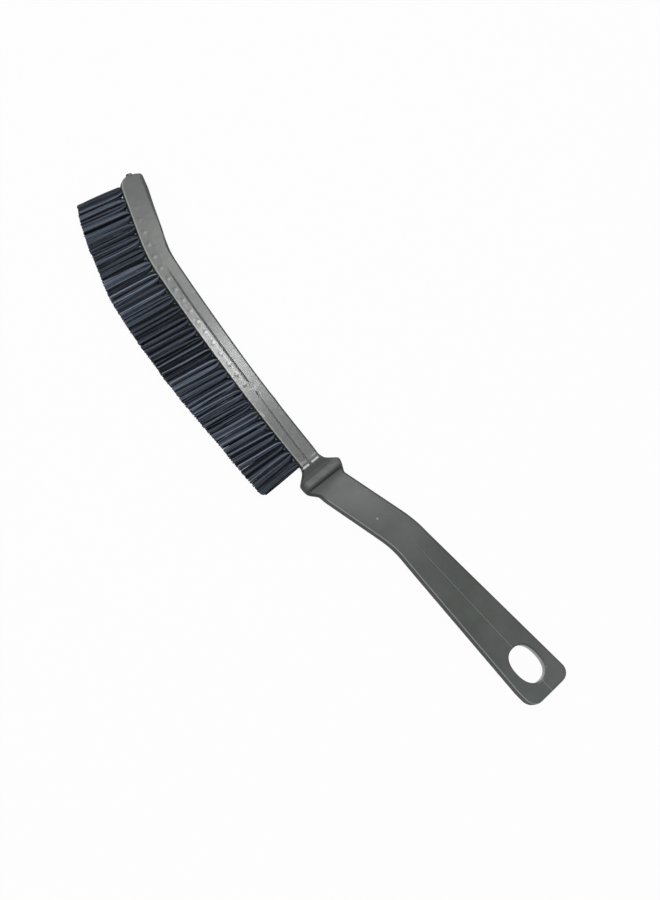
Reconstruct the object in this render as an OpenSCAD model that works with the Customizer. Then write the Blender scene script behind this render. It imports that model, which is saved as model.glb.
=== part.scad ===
// Crevice brush: one moulded handle and blade, with a single row of stapled bristle tufts.
// It lies on a broad side. The blade's tip points to -X, the handle's end to +X and the
// bristles to -Y. The thickness is along Z, the same to both sides of the parting plane.

/* [Blade] */
// Length of the straight stretch at the blade's tip
tip_len = 26; // [18:0.5:40]
// How far the tip turns away from the bristles, in degrees
tip_bend = 15.5; // [0:0.5:25]
// Radius of the bend behind the tip, on the centre line
tip_bend_r = 60; // [40:5:120]
// Length of the long stretch of the blade, which is nearly straight
blade_len = 95.5; // [70:0.5:130]
// How far the long stretch curves, in degrees
blade_sweep = 5.5; // [0:0.5:10]
// Width of the blade along its long stretch
blade_w = 9; // [8.4:0.1:14]
// Width of the blade at its tip
blade_tip_w = 10.2; // [9:0.1:14]
// Thickness of the blade
blade_t = 4.8; // [4.4:0.1:7]
// Width of the chamfer along the blade's back
back_chamfer = 0.8; // [0.3:0.1:1.2]
// Width of that chamfer at the blade's tip
back_chamfer_tip = 1.5; // [0.3:0.1:1.8]
// Width of the chamfer along the bristle edge
edge_chamfer = 0.4; // [0.2:0.05:0.6]
// Radius of the tip's corner on the bristle side
tip_corner = 4.6; // [1:0.2:4.8]
// Radius of the tip's corner on the back
back_corner = 0.9; // [0.3:0.1:2]
// Depth of the groove along the middle of the blade
groove_depth = 0.35; // [0.1:0.05:0.6]
// Width of the groove and of the handle's ridge line
line_w = 0.8; // [0.4:0.1:1.6]
// Length of the gate vestige, the stub of moulding left on the tip
gate_len = 1.3; // [0.5:0.1:2]
// Thickness of the gate vestige where it stands on the tip
gate_d = 1.4; // [0.8:0.1:2]
// Distance of the gate vestige from the blade's middle, towards the back
gate_out = 1; // [0:0.1:2]

/* [Neck and collar] */
// Distance from the collar's middle to the step where the blade ends
neck_len = 7; // [6:0.5:12]
// How far the neck turns towards the bristles, in degrees
neck_turn = 1.5; // [0:0.5:4]
// Thickness of the neck just behind the step
lip_t = 6; // [4.8:0.1:7]
// Thickness of the neck just before the collar
neck_t = 5.4; // [4.4:0.1:7]
// Thickness of the collar
collar_t = 9; // [7.6:0.1:12]
// Length of the collar's bead
bead_len = 5; // [3:0.5:7]
// Length of the flat land along the bead's crest
land_len = 1.4; // [0.6:0.1:2.4]
// How far the collar stands out on the back
guard_back = 2.8; // [1:0.1:5]
// How far the collar stands out on the bristle side
guard_front = 1.9; // [1:0.1:5]

/* [Handle] */
// How far the handle turns away from the bristles behind the collar, in degrees
heel_turn = 18.2; // [0:0.1:25]
// Radius of that turn, which starts in the collar's middle
heel_r = 14; // [12:1:30]
// Length of the straight stretch behind the collar
front_len = 30.5; // [20:0.5:45]
// How far the handle bends back, in degrees
handle_bend = 13.1; // [0:0.1:20]
// Radius of that bend
handle_bend_r = 50; // [30:5:100]
// Length of the handle behind the bend
rear_len = 81; // [60:0.5:110]
// Width of the handle behind the collar
front_w = 13.6; // [12:0.2:20]
// Width of the handle at its bend
bend_w = 14.2; // [12:0.2:22]
// Width of the handle at its end
end_w = 21.8; // [18:0.2:28]
// Thickness of the handle at its edges
handle_edge_t = 6.2; // [5:0.1:8]
// How much thicker the handle is along its middle
crown = 0.8; // [0:0.1:1.4]
// Width of the chamfer along the handle's edges
handle_chamfer = 0.9; // [0.4:0.1:1.4]
// Height of the fine ridge along the rear of the handle
ridge_h = 0.15; // [0:0.05:0.3]
// Radius of the two corners at the handle's end
end_corner = 5; // [2:0.5:8]

/* [Hanging hole] */
// Length of the hole
hole_len = 16.8; // [8:0.2:22]
// Width of the hole
hole_w = 11.6; // [6:0.2:12]
// Distance from the hole's middle to the handle's end
hole_inset = 15; // [13:0.2:24]
// How square the oval is: 2 is an ellipse
hole_power = 2.3; // [2:0.1:3]

/* [Tufts] */
// Number of tufts
tuft_count = 26; // [18:1:27]
// Spacing of the tufts along the blade
tuft_pitch = 5.2; // [4.4:0.1:5.4]
// Distance from the collar's middle to the first tuft
tuft_start = 9.2; // [9:0.1:12]
// Diameter of the tuft holes
tuft_hole_d = 2.8; // [2.7:0.1:3]
// Depth of the tuft holes
tuft_hole_depth = 5; // [4.4:0.1:6]
// Gap between a tuft's root and the wall and floor of its hole
root_gap = 0.05; // [0.02:0.01:0.1]
// How deep the top of a root lies below the mouth of its hole
root_recess = 0.3; // [0.2:0.05:0.6]
// Thickness of the fold of bristle under a staple
fold_t = 0.6; // [0.4:0.05:0.8]
// Free length of the tuft nearest the tip
tuft_len_tip = 18.3; // [12:0.1:26]
// Free length of the longest tufts
tuft_len_mid = 21.7; // [14:0.1:30]
// Free length of the tuft nearest the collar
tuft_len_heel = 18.4; // [12:0.1:26]
// Place of the longest tufts along the row, from the collar
tuft_peak = 0.6; // [0.2:0.05:0.8]
// Lean of the tip's tuft towards the tip, in degrees
lean_tip = 13; // [0:1:25]
// Lean of the middle tufts towards the tip, in degrees
lean_mid = 8; // [0:1:15]
// Lean of the collar's tuft towards the tip, in degrees
lean_heel = -2; // [-5:1:8]
// Width of a bristle strand, which is three-sided
strand_w = 0.56; // [0.3:0.02:0.6]
// How unevenly the strands of a tuft are cut, to either side of its length
uneven = 0.7; // [0:0.1:1.5]
// How far the tip of a strand strays from its place in the fan
stray = 0.1; // [0:0.02:0.14]
// Gap between two tufts' fans at their tips
fan_gap = 0.3; // [0.1:0.1:1.5]
// Thickness of a tuft's fan at its tips
fan_t = 3.8; // [2.6:0.1:5]

/* [Staples] */
// Length of a staple across its hole
staple_len = 3.3; // [3:0.1:3.8]
// Thickness of a staple
staple_t = 0.35; // [0.2:0.05:0.5]
// Height of a staple along the hole
staple_h = 1.7; // [1:0.1:2]
// Gap round a staple
staple_gap = 0.03; // [0.01:0.01:0.05]

/* [Hidden] */
plastic = [0.44, 0.47, 0.43];
bristle = [0.09, 0.11, 0.17];
metal = [0.72, 0.70, 0.62];
bore_facets = 16;
root_facets = 12;

function tuft_name(i) = str("tuft_", i < 9 ? "0" : "", i + 1);

function mix(a, b, t) = a + (b - a) * t;
function ramp(x, a, b) = let(t = min(1, max(0, (x - a) / (b - a)))) t * t * (3 - 2 * t);
function arc_len(r, turn) = r * turn * PI / 180;
function column(list, k) = [for (q = list) q[k]];

// The centre line, as [length, turn] stretches walked outwards from the collar both ways.
// s is the distance along it from the collar's middle, negative towards the blade's tip.
tip_bend_len = arc_len(tip_bend_r, tip_bend);
to_tip = [[neck_len, neck_turn], [blade_len, -blade_sweep], [tip_bend_len, -tip_bend], [tip_len, 0]];
heel_len = arc_len(heel_r, heel_turn);
bend_len = arc_len(handle_bend_r, handle_bend);
to_end = [[heel_len, heel_turn], [front_len, 0], [bend_len, -handle_bend], [rear_len, 0]];
function total(list, i = 0) = i == len(list) ? 0 : list[i][0] + total(list, i + 1);
s_tip = -total(to_tip);
s_bent = s_tip + tip_len;
s_end = total(to_end);
s_rear = s_end - rear_len;
s_hole = s_end - hole_inset;

// One step along a stretch of even curvature, from a place and heading [x, y, angle]
function step(from, length, turn) =
    turn == 0
        ? [from.x + length * cos(from.z), from.y + length * sin(from.z), from.z]
        : let(r = length * 180 / PI / turn)
          [
              from.x + r * (sin(from.z + turn) - sin(from.z)),
              from.y - r * (cos(from.z + turn) - cos(from.z)),
              from.z + turn
          ];
function walk(list, d, from, i = 0) =
    d <= list[i][0] || i == len(list) - 1
        ? step(from, d, list[i][1] * d / list[i][0])
        : walk(list, d - list[i][0], step(from, list[i][0], list[i][1]), i + 1);
function place(s) =
    s >= 0
        ? walk(to_end, s, [0, 0, 0])
        : let(q = walk(to_tip, -s, [0, 0, 180])) [q.x, q.y, q.z - 180];

// Runs along s over which the moulding changes its form
step_run = 0.8;
flare_run = 1.6;
crest_start = -0.6;
back_crest_end = 0.2;
back_fillet = 3.4;
front_shoulder = 1.4;
front_fillet = 4.2;
line_fade_in = 4;
groove_fade_out = 12;
ridge_fade_out = 14;

// The cross-section's sizes along s
function drawn_in(d, r) = d >= r ? 0 : r - sqrt(max(0, r * r - (r - d) * (r - d)));
function core_half_w(s) =
    s < s_bent + tip_bend_len ? mix(blade_w, blade_tip_w, ramp(-s, -s_bent - tip_bend_len, -s_tip)) / 2
    : s < 0 ? mix(blade_w, front_w, ramp(s, -neck_len + 1, 0)) / 2
    : s < s_rear ? mix(front_w, bend_w, s / s_rear) / 2
    : mix(bend_w, end_w, (s - s_rear) / rear_len) / 2;
function flare(s, from, to) =
    ramp(s, -bead_len / 2 - flare_run, crest_start) * (1 - ramp(s, from, to));
function half_back(s) =
    core_half_w(s) + guard_back * flare(s, back_crest_end, bead_len / 2 + back_fillet)
    - drawn_in(s - s_tip, back_corner) - drawn_in(s_end - s, end_corner);
function half_front(s) =
    core_half_w(s) + guard_front * flare(s, bead_len / 2 + front_shoulder, bead_len / 2 + front_fillet)
    - drawn_in(s - s_tip, tip_corner) - drawn_in(s_end - s, end_corner);
function bead(s) =
    let(d = max(0, abs(s) - land_len / 2) / ((bead_len - land_len) / 2)) d >= 1 ? 0 : sqrt(1 - d * d);
function plain_half_t(s) =
    s < -neck_len + step_run ? mix(blade_t, lip_t, ramp(s, -neck_len - step_run, -neck_len + step_run)) / 2
    : s < 0 ? mix(lip_t, neck_t, ramp(s, -neck_len + step_run, -bead_len / 2)) / 2
    : mix(neck_t, handle_edge_t, ramp(s, 0, bead_len / 2)) / 2;
function half_t(s) =
    mix(plain_half_t(s), collar_t / 2, bead(s))
    - drawn_in(s - s_tip, back_corner / 2) - drawn_in(s_end - s, handle_chamfer);
function chamfer_back(s) =
    s < -neck_len ? mix(back_chamfer, back_chamfer_tip, ramp(-s, -s_bent, -s_tip - tip_len / 3))
    : mix(back_chamfer, handle_chamfer, ramp(s, -neck_len, 0)) + bead(s) / 2;
function chamfer_front(s) = mix(edge_chamfer, handle_chamfer, ramp(s, -neck_len, 0)) + bead(s) / 2;
function line_at(s) =
    s < 0
        ? -groove_depth * ramp(s, s_bent - line_fade_in, s_bent + groove_fade_out)
            * (1 - ramp(s, -bead_len, -bead_len / 2))
        : ridge_h * ramp(s, s_rear - line_fade_in, s_rear + ridge_fade_out);
function crown_at(s) = crown / 2 * ramp(s, bead_len / 2, bead_len / 2 + front_len / 2);

// Upper half of a section, from the back to the bristle side, as [across, height]
function upper(s) =
    let(
        b = half_back(s),
        f = half_front(s),
        t = half_t(s),
        mid = t + crown_at(s),
        cb = chamfer_back(s),
        cf = chamfer_front(s)
    )
    [
        [b, t - cb * 0.8],
        [b - cb, t],
        [line_w / 2, mid],
        [0, mid + line_at(s)],
        [-line_w / 2, mid],
        [cf - f, t],
        [-f, t - cf * 0.8]
    ];
function section(s) =
    let(u = upper(s), n = len(u)) concat(u, [for (k = [n - 1:-1:0]) [u[k].x, -u[k].y]]);
function across(q, d) = [q.x - d * sin(q.z), q.y + d * cos(q.z)];

// Where the sections stand: close together round the corners and the collar
function even(from, to, count) = [for (k = [0:count - 1]) mix(from, to, k / count)];
hair = 0.1;
neck_start = -neck_len - step_run;
grip_start = bead_len / 2 + front_fillet + step_run;
stations = concat(
    [for (a = [0:30:60]) s_tip + back_corner / 2 * (1 - cos(a))],
    [for (a = [30:15:75]) s_tip + tip_corner * (1 - cos(a)) + hair / 5],
    even(s_tip + tip_corner + hair, neck_start, 44),
    even(neck_start, -bead_len / 2 - hair, 12),
    [for (a = [0:15:90]) -land_len / 2 - (bead_len - land_len) / 2 * cos(a)],
    [for (a = [90:-15:0]) land_len / 2 + (bead_len - land_len) / 2 * cos(a)],
    even(bead_len / 2 + 3 * hair, grip_start, 10),
    even(grip_start, s_end - end_corner, 34),
    [for (a = [0:15:60]) s_end - end_corner * (1 - sin(a))],
    [for (a = [45:-15:0]) s_end - handle_chamfer * (1 - cos(a))]
);
rings = [for (s = stations) let(q = place(s)) [for (p = section(s)) let(g = across(q, p.x)) [g.x, g.y, p.y]]];
body_points = [for (r = rings) each r];

// The tufts: i counts from the blade's tip, k counts the strands in a tuft
function tuft_s(i) = -tuft_start - tuft_pitch * (tuft_count - 1 - i);
function from_heel(i) = (tuft_count - 1 - i) / (tuft_count - 1);
function lean(i) =
    let(t = from_heel(i)) mix(mix(lean_heel, lean_mid, ramp(t, 0, 0.14)), lean_tip, ramp(t, 0.66, 1));
function tuft_len(i) =
    let(t = from_heel(i))
    t < tuft_peak ? mix(tuft_len_mid, tuft_len_heel, pow(1 - t / tuft_peak, 2))
    : mix(tuft_len_mid, tuft_len_tip, pow((t - tuft_peak) / (1 - tuft_peak), 1.3));
function tuft_root(i) = let(s = tuft_s(i)) across(place(s), -half_front(s));
root_r = tuft_hole_d / 2 - root_gap;
root_end = tuft_hole_depth - root_gap;

// A root's strands stand in two rings round a middle one, as close as the hole lets them
seat_pitch = (root_r * cos(180 / root_facets) - strand_w / sqrt(3)) / sqrt(3);
seats = concat(
    [[0, 0]],
    [for (a = [0:60:300]) seat_pitch * [cos(a), sin(a)]],
    [for (a = [30:60:330]) seat_pitch * sqrt(3) * [cos(a), sin(a)]]
);
fan = [
    (tuft_pitch - fan_gap - strand_w - 2 * stray) / (3 * seat_pitch),
    (fan_t - strand_w - 2 * stray) / (2 * sqrt(3) * seat_pitch)
];
corners = [for (a = [0:120:240]) strand_w / sqrt(3) * [cos(a), sin(a)]];

// A strand's corner points in its tuft's own frame: along the row, up, and out of the hole
function strand_points(i, k) =
    let(
        seat = seats[k],
        chance = rands(-1, 1, 3, 100 * i + k),
        tip = [seat.x * fan.x, seat.y * fan.y] + stray * [chance.x, chance.y]
    )
    concat(
        [for (c = corners) concat(seat + c, -root_recess - strand_w)],
        [for (c = corners) concat(tip + c, tuft_len(i) + uneven * chance.z)]
    );
function in_part(i, p) =
    let(r = tuft_root(i), a = lean(i))
    [r.x + p.x * cos(a) - p.z * sin(a), r.y - p.x * sin(a) - p.z * cos(a)];

// The origin is under the middle of the whole brush, where it lies
strand_tips = [
    for (i = [0:tuft_count - 1])
        for (k = [0:len(seats) - 1])
            for (p = strand_points(i, k)) in_part(i, p)
];
gate_tip = let(q = place(s_tip - gate_len)) across(q, gate_out);
all_x = concat(column(body_points, 0), column(strand_tips, 0), [gate_tip.x]);
all_y = concat(column(body_points, 1), column(strand_tips, 1));
origin = [-(min(all_x) + max(all_x)) / 2, -(min(all_y) + max(all_y)) / 2, max(column(body_points, 2))];

module in_tuft(i) {
    translate(concat(tuft_root(i), [0])) rotate([0, 0, -lean(i)]) rotate([90, 0, 0]) children();
}

module staple(gap) {
    size = [staple_len + 2 * gap, staple_t + 2 * gap, staple_h + 2 * gap];
    translate([-size.x / 2, -size.y / 2, -root_end + fold_t - gap]) cube(size);
}

module swept_body() {
    n = len(rings[0]);
    last = len(rings) - 1;
    function at(j, k) = j * n + k % n;
    polyhedron(
        points = body_points,
        faces = concat(
            [[for (k = [0:n - 1]) k]],
            [for (j = [0:last - 1]) for (k = [0:n - 1]) [at(j, k), at(j + 1, k), at(j, k + 1)]],
            [for (j = [0:last - 1]) for (k = [0:n - 1]) [at(j + 1, k), at(j + 1, k + 1), at(j, k + 1)]],
            [[for (k = [n - 1:-1:0]) last * n + k]]
        ),
        convexity = 6
    );
}

module hanging_hole() {
    at = place(s_hole);
    power = 2 / hole_power;
    translate([at.x, at.y, 0]) rotate([0, 0, at.z]) linear_extrude(2 * collar_t, center = true)
        polygon([
            for (a = [0:7.5:352.5])
                [
                    hole_len / 2 * sign(cos(a)) * pow(abs(cos(a)), power),
                    hole_w / 2 * sign(sin(a)) * pow(abs(sin(a)), power)
                ]
        ]);
}

module gate_vestige() {
    at = across(place(s_tip + gate_d), gate_out);
    translate([at.x, at.y, 0]) rotate([0, 0, place(s_tip).z]) rotate([0, -90, 0])
        cylinder(d1 = gate_d, d2 = gate_d / 2, h = gate_d + gate_len, $fn = 24);
}

module handle_body() {
    color(plastic)
        translate(origin) {
            difference() {
                union() {
                    swept_body();
                    gate_vestige();
                }
                hanging_hole();
                for (i = [0:tuft_count - 1]) in_tuft(i) {
                    translate([0, 0, -tuft_hole_depth])
                        cylinder(d = tuft_hole_d, h = tuft_hole_depth + 1, $fn = bore_facets);
                    staple(staple_gap);
                }
            }
        }
}

module tuft(i) {
    color(bristle)
        translate(origin) in_tuft(i) difference() {
            union() {
                translate([0, 0, -root_end])
                    cylinder(r = root_r, h = root_end - root_recess, $fn = root_facets);
                for (k = [0:len(seats) - 1])
                    polyhedron(
                        points = strand_points(i, k),
                        faces = concat(
                            [[0, 1, 2], [3, 5, 4]],
                            [for (c = [0:2]) [c, c + 3, (c + 1) % 3]],
                            [for (c = [0:2]) [(c + 1) % 3, c + 3, (c + 1) % 3 + 3]]
                        )
                    );
            }
            staple(staple_gap);
        }
}

module tuft_staples() {
    color(metal)
        translate(origin)
            for (i = [0:tuft_count - 1]) in_tuft(i) staple(0);
}

handle_body();
tuft_staples();
for (i = [0:tuft_count - 1])
    tuft(i);
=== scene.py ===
import math
import random

import bpy
from mathutils import Matrix, Vector, kdtree


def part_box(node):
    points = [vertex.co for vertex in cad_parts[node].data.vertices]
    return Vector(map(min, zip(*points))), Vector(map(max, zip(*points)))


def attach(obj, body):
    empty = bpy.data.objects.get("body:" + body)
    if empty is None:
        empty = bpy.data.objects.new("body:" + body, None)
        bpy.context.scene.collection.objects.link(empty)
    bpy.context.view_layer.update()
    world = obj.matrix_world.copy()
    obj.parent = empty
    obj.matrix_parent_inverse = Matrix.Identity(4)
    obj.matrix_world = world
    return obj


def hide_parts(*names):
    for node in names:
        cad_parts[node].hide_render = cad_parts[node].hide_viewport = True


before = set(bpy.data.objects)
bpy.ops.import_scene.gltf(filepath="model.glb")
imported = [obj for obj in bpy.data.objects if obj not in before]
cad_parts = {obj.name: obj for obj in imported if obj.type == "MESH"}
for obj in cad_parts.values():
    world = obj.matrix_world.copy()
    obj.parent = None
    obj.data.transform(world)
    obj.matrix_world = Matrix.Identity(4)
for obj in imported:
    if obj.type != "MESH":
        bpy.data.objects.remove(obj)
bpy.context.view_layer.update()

# The camera looks down on the brush as it lies on its broad side, leaned over towards the
# bristles, so that the walls on that side show. The blade's tip points up and to the left.
# MM turns a length in millimetres into metres.
MM = 0.001
CAMERA_LEAN = math.radians(12)
CAMERA_TURN = math.radians(52)
CAMERA_DISTANCE = 1.2
CAMERA_TARGET = Vector((4.1, 7.1, 6.4)) * MM
VIEW_HEIGHT = 0.36
SENSOR_WIDTH = 36

along_brush = Vector((1, 0, 0))
across_brush = Vector((0, math.cos(CAMERA_LEAN), math.sin(CAMERA_LEAN)))
view_right = math.cos(CAMERA_TURN) * along_brush + math.sin(CAMERA_TURN) * across_brush
view_up = math.cos(CAMERA_TURN) * across_brush - math.sin(CAMERA_TURN) * along_brush
view_back = view_right.cross(view_up)
camera_data = bpy.data.cameras.new("camera")
camera_data.sensor_width = SENSOR_WIDTH
camera_data.lens = CAMERA_DISTANCE * SENSOR_WIDTH / VIEW_HEIGHT
camera = bpy.data.objects.new("camera", camera_data)
bpy.context.scene.collection.objects.link(camera)
camera.matrix_world = Matrix((view_right, view_up, view_back)).transposed().to_4x4()
camera.location = CAMERA_TARGET + CAMERA_DISTANCE * view_back
bpy.context.scene.camera = camera

# The moulding is one piece of grey-green polypropylene from a two-part mould: a slim blade, a
# stepped neck, a finger collar and a flat handle, swept along a line that bends in its plane.
# Lengths are in millimetres, and s runs along that line from the collar, negative to the tip.
TIP_LEN = 26
TIP_TRIM = 1
TIP_BEND = 15.5
TIP_BEND_RADIUS = 60
TIP_CORNER = 4.6
TIP_ROUNDING = 0.45
BACK_CORNER = 1.9
BLADE_LEN = 95.5
BLADE_SWEEP = 5.5
BLADE_WIDTH = 9
BLADE_TIP_WIDTH = 10.2
BLADE_THICKNESS = 4.8
BLADE_SLOPE = 0.045
LIP_LEN = 1.2
LIP_THICKNESS = 6
NECK_LEN = 7
NECK_TURN = 1.5
NECK_THICKNESS = 5.4
COLLAR_THICKNESS = 9
BEAD_LEN = 5
BEAD_ROUNDNESS = 0.75
LAND_LEN = 1.4
HEEL_TURN = 18.2
HEEL_RADIUS = 14
FRONT_LEN = 30.5
FRONT_WIDTH = 13.6
HANDLE_BEND = 13.1
HANDLE_BEND_RADIUS = 50
BEND_WIDTH = 14.2
REAR_LEN = 81
HANDLE_THICKNESS = 6.2
CROWN = 0.3
END_WIDTH = 21.8
END_CORNER = 5
END_ROUNDING = 0.9


def mix(a, b, t):
    """The value a share t of the way from a to b."""
    return a + (b - a) * t


def ramp(x, start, end):
    """A smooth rise from 0 at start to 1 at end."""
    t = min(1, max(0, (x - start) / (end - start)))
    return t * t * (3 - 2 * t)


def between(x, rise, full, fade, end):
    """1 from full to fade, with an ease from 0 at rise and back to 0 at end."""
    return ramp(x, rise, full) * (1 - ramp(x, fade, end))


def arc_length(radius, turn):
    """Length of an arc from its turn in degrees."""
    return radius * math.radians(turn)


TIP_BEND_LEN = arc_length(TIP_BEND_RADIUS, TIP_BEND)
TO_TIP = [(NECK_LEN, NECK_TURN), (BLADE_LEN, -BLADE_SWEEP), (TIP_BEND_LEN, -TIP_BEND), (TIP_LEN, 0)]
TO_END = [
    (arc_length(HEEL_RADIUS, HEEL_TURN), HEEL_TURN),
    (FRONT_LEN, 0),
    (arc_length(HANDLE_BEND_RADIUS, HANDLE_BEND), -HANDLE_BEND),
    (REAR_LEN, 0),
]
S_BENT = -NECK_LEN - BLADE_LEN - TIP_BEND_LEN
S_TIP = S_BENT - TIP_LEN + TIP_TRIM
S_END = sum(length for length, turn in TO_END)
S_REAR = S_END - REAR_LEN

# The sections stay square to the collar up to the first of these places, and turn with the line
# from the second.
SECTION_TURN = (2.4, 8)


def walk(stretches, distance, heading):
    """The point and heading reached after a distance along stretches of even curvature."""
    x = y = 0
    for length, turn in stretches:
        done = min(distance, length)
        swing = math.radians(turn) * done / length
        chord = done if abs(swing) < 1e-9 else 2 * done / swing * math.sin(swing / 2)
        x += chord * math.cos(heading + swing / 2)
        y += chord * math.sin(heading + swing / 2)
        heading += swing
        distance -= done
        if distance <= 0:
            break
    return x, y, heading


def place(s):
    """The point at s on the centre line and the way that its section faces."""
    if s < 0:
        x, y, heading = walk(TO_TIP, -s, math.pi)
        return x, y, heading - math.pi
    x, y, heading = walk(TO_END, s, 0)
    if s <= SECTION_TURN[1]:
        heading = math.radians(HEEL_TURN) * ramp(s, *SECTION_TURN)
    return x, y, heading


def beside(s, u, height=0):
    """The point u to the side of the centre line at s, towards the back where u is positive."""
    x, y, heading = place(s)
    return Vector((x - u * math.sin(heading), y + u * math.cos(heading), height))


def drawn_in(distance, radius):
    """How far a corner's round draws an edge in, at a distance from the end."""
    if distance >= radius:
        return 0
    return radius - math.sqrt(max(0, radius ** 2 - (radius - distance) ** 2))


def core_half_width(s):
    """Half the width without the collar's guards, the swells and the round corners."""
    if s < S_BENT + TIP_BEND_LEN:
        return mix(BLADE_WIDTH, BLADE_TIP_WIDTH, ramp(-s, -S_BENT - TIP_BEND_LEN, -S_TIP)) / 2
    if s < 0:
        return mix(BLADE_WIDTH, FRONT_WIDTH, ramp(s, -NECK_LEN - 0.4, -1)) / 2
    if s < S_REAR:
        return mix(FRONT_WIDTH, BEND_WIDTH, s / S_REAR) / 2
    return mix(BEND_WIDTH, END_WIDTH, (s - S_REAR) / REAR_LEN) / 2


# The finger guards stand out on either side of the collar. A span gives the four places on s
# where a form starts to rise, is full, starts to fade and ends. A swell has its middle, half its
# length and its height. The blade's back and the handle's bristle side are a little fuller.
GUARD_BACK = 2.8
GUARD_BACK_SPAN = (-5.2, -0.8, -1, 7.6)
GUARD_FRONT = 2.4
GUARD_FRONT_SPAN = (-6, -0.8, 2.6, 5.8)
FULLER_BLADE = 0.2
FULLER_BLADE_TIP = 0.5
FULLER_BLADE_SPAN = (S_TIP + 1, S_TIP + 8, -12, -7)
FULLER_HANDLE = 0.3
FULLER_HANDLE_END = 0.5
FULLER_HANDLE_SPAN = (5, 8, S_END - 10, S_END - 2)
SWELLS = [(-119, 10, 0.3), (-36, 3, 0.12)]


def half_back(s):
    """Half the width on the back's side."""
    guard = GUARD_BACK * between(s, *GUARD_BACK_SPAN)
    fuller = mix(FULLER_BLADE, FULLER_BLADE_TIP, ramp(-s, 40, 85)) * between(s, *FULLER_BLADE_SPAN)
    for peak, reach, height in SWELLS:
        fuller += height * max(0, 1 - abs(s - peak) / reach)
    corners = drawn_in(s - S_TIP, BACK_CORNER) + drawn_in(S_END - s, END_CORNER)
    return core_half_width(s) + guard + fuller - corners


def half_front(s):
    """Half the width on the bristles' side."""
    guard = GUARD_FRONT * between(s, *GUARD_FRONT_SPAN)
    fuller = mix(FULLER_HANDLE, FULLER_HANDLE_END, ramp(s, 30, 60)) * between(s, *FULLER_HANDLE_SPAN)
    corners = drawn_in(s - S_TIP, TIP_CORNER) + drawn_in(S_END - s, END_CORNER)
    return core_half_width(s) + guard + fuller - corners


def bead(s):
    """The collar's bead: 1 on its flat land, 0 from its foot on."""
    d = max(0, abs(s) - LAND_LEN / 2) / ((BEAD_LEN - LAND_LEN) / 2)
    return 0 if d >= 1 else (1 - d * d) ** BEAD_ROUNDNESS


LIP_START = -NECK_LEN - LIP_LEN / 2
LIP_END = -NECK_LEN + LIP_LEN / 2


def half_thickness(s):
    """Half the thickness before the faces' crown, groove and ridge."""
    if s < LIP_END:
        rise = min(1, max(0, (s - LIP_START) / (LIP_END - LIP_START)))
        plain = mix(BLADE_THICKNESS, LIP_THICKNESS, rise) / 2
    elif s < 0:
        plain = mix(LIP_THICKNESS, NECK_THICKNESS, ramp(s, LIP_END, -BEAD_LEN / 2)) / 2
    else:
        plain = mix(NECK_THICKNESS, HANDLE_THICKNESS, ramp(s, 0, BEAD_LEN / 2)) / 2
    rounded = drawn_in(s - S_TIP, TIP_ROUNDING) + drawn_in(S_END - s, END_ROUNDING)
    return mix(plain, COLLAR_THICKNESS / 2, bead(s)) - rounded


# The broad faces fall a little from the blade's middle to its edges. They carry a groove along
# the blade, a row of small press marks beside it where the staples spread the plastic, and a
# fine ridge along the rear of the handle. A thin seam runs round the moulding's mid-plane.
SLOPE_SPAN = (S_BENT - 10, S_BENT + 30, -9.2, LIP_END)
GROOVE_DEPTH = 0.26
GROOVE_HALF = 0.45
GROOVE_SPAN = (-108, -88, -BEAD_LEN, -BEAD_LEN / 2)
GROOVE_GAP = -45
GROOVE_SHALLOW = (-47, -40)
GROOVE_DRIFT = -0.9
GROOVE_DRIFT_SPAN = (-42, -14, -4, 0)
RIDGE_HEIGHT = 0.15
RIDGE_HALF = 0.4
RIDGE_RISE = (S_REAR - 4, S_REAR + 14)
MARK_HEIGHT = 0.045
MARK_RADIUS = 1.25
MARK_ASIDE = -1.95
MARK_AHEAD = 1.7
MARK_SPAN = (S_TIP, S_BENT + 20, -50, -42)
BACK_EDGE = 0.8
BACK_EDGE_TIP = 1.6
BACK_CHAMFER = (-103, -116)
FRONT_EDGE = 0.3
HANDLE_EDGE = 0.9
HANDLE_EDGE_FRONT = 0.5
EDGE_DROP = 0.8
SEAM = 0.05
SEAM_HALF = 0.12
TUFTS = 26
TUFT_PITCH = 5.2
TUFT_START = 9.2


def tuft_s(index):
    """Where a tuft stands on s. The first tuft is the one at the blade's tip."""
    return -TUFT_START - TUFT_PITCH * (TUFTS - 1 - index)


def back_edge(s):
    """Width of the round, or the chamfer, between the face and the back's wall."""
    if s < -NECK_LEN:
        return mix(BACK_EDGE, BACK_EDGE_TIP, ramp(-s, -S_BENT, -S_TIP - TIP_LEN / 3))
    return mix(BACK_EDGE, HANDLE_EDGE, ramp(s, -NECK_LEN, 0)) + bead(s) / 2


def front_edge(s):
    """Width of the round between the face and the bristles' wall."""
    edge = mix(FRONT_EDGE, HANDLE_EDGE_FRONT, ramp(s, -NECK_LEN, 0)) + 0.9 * bead(s)
    return min(edge, 0.6 * half_front(s))


def line_aside(s):
    """Where the groove runs: it strays a little to the bristles' side near the neck."""
    return GROOVE_DRIFT * between(s, *GROOVE_DRIFT_SPAN)


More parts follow.
